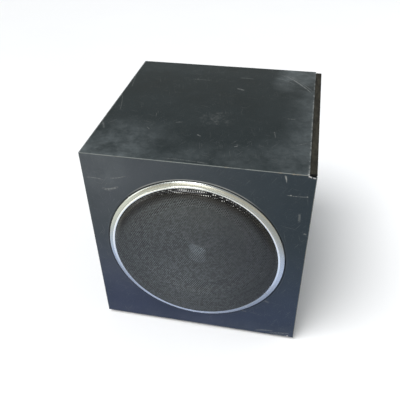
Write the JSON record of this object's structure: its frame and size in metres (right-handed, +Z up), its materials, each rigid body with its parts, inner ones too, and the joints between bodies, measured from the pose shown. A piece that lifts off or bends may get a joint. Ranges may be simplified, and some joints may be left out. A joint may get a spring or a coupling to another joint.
{
  "type": "subwoofer",
  "caption": "Active bass loudspeaker: cube cabinet, front driver behind a perforated round grille in a silver ring, rear reflex port and amplifier plate.",
  "frame": {"origin": "on the floor plane under the feet, below the middle of the cabinet", "axes": "+Z up, front baffle and grille face -Y, +X to the right seen from the front"},
  "size_m": [0.28, 0.296, 0.29],
  "materials": {
    "laminate": "dark grey PVC film on board",
    "raw_board": "fibreboard",
    "wadding": "polyester wadding",
    "foam": "black foam",
    "soft_rubber": "black rubber",
    "fixings": "zinc plated steel",
    "silver_paint": "silver painted ring",
    "black_steel": "black powder coat",
    "cone_paper": "treated paper",
    "former_film": "brown film",
    "copper_wire": "copper",
    "spider_cloth": "phenolic cotton cloth",
    "plated_iron": "zinc plated soft iron",
    "ferrite": "grey ferrite",
    "tag_board": "laminated board",
    "black_plastic": "black moulded plastic",
    "capacitor_sleeve": "shrink sleeve",
    "bare_aluminium": "extruded aluminium",
    "jack_metal": "nickel plated brass",
    "red_plastic": "red plastic",
    "white_plastic": "white plastic",
    "wire_jacket": "wire insulation"
  },
  "bodies": {
    "cabinet": {"front_baffle": "laminate", "top_panel": "laminate", "bottom_panel": "laminate", "left_side_panel": "laminate", "right_side_panel": "laminate", "baffle_liner": "raw_board", "driver_board": "raw_board", "rear_panel": "raw_board", "corner_battens": "raw_board", "damping_pad_left": "wadding", "damping_pad_right": "wadding", "damping_pad_top": "wadding", "grille_gasket": "foam", "driver_gasket": "foam", "amp_gasket": "foam", "rubber_feet": "soft_rubber", "wire_grommet": "soft_rubber", "foot_screws": "fixings", "driver_screws": "fixings", "amp_plate_screws": "fixings", "inlet_screws": "fixings", "level_nut": "fixings", "transformer_strap": "fixings", "trim_ring": "silver_paint", "grille": "black_steel", "driver_basket": "black_steel", "amp_plate": "black_steel", "transformer_winding": "copper_wire", "top_plate": "plated_iron", "pole_yoke": "plated_iron", "transformer_core": "plated_iron", "magnet": "ferrite", "terminal_strip": "tag_board", "circuit_board": "tag_board", "port_tube": "black_plastic", "amp_chamber": "black_plastic", "board_spacers": "black_plastic", "amplifier_chips": "black_plastic", "jack_block": "black_plastic", "mains_inlet": "black_plastic", "switch_housing": "black_plastic", "level_control": "black_plastic", "filter_capacitors": "capacitor_sleeve", "heat_sink": "bare_aluminium", "jack_shells": "jack_metal", "inlet_blades": "jack_metal", "jack_inserts_red": "red_plastic", "jack_inserts_white": "white_plastic", "speaker_wires": "wire_jacket"},
    "cone_assembly": {"cone": "cone_paper", "dust_cap": "cone_paper", "coil_former": "former_film", "voice_coil": "copper_wire", "surround": "soft_rubber", "spider": "spider_cloth", "tinsel_leads": "copper_wire"},
    "level_dial": {"level_knob": "black_plastic", "level_shaft": "fixings"},
    "power_switch": {"power_rocker": "black_plastic"}
  },
  "joints": [
    {"name": "cone_stroke", "type": "slide", "parent": "cabinet", "child": "cone_assembly", "axis": [0, -1, 0], "range_m": [-0.008, 0.008], "stiffness_N_per_m": 1500, "deforming": ["surround", "spider", "tinsel_leads"]},
    {"name": "level_turn", "type": "hinge", "parent": "cabinet", "child": "level_dial", "pos_m": [0.062, 0.129, 0.14], "axis": [0, -1, 0], "range_deg": [0, 300]},
    {"name": "power_rock", "type": "hinge", "parent": "cabinet", "child": "power_switch", "pos_m": [-0.062, 0.126, 0.062], "axis": [-1, 0, 0], "range_deg": [0, 20]}
  ]
}
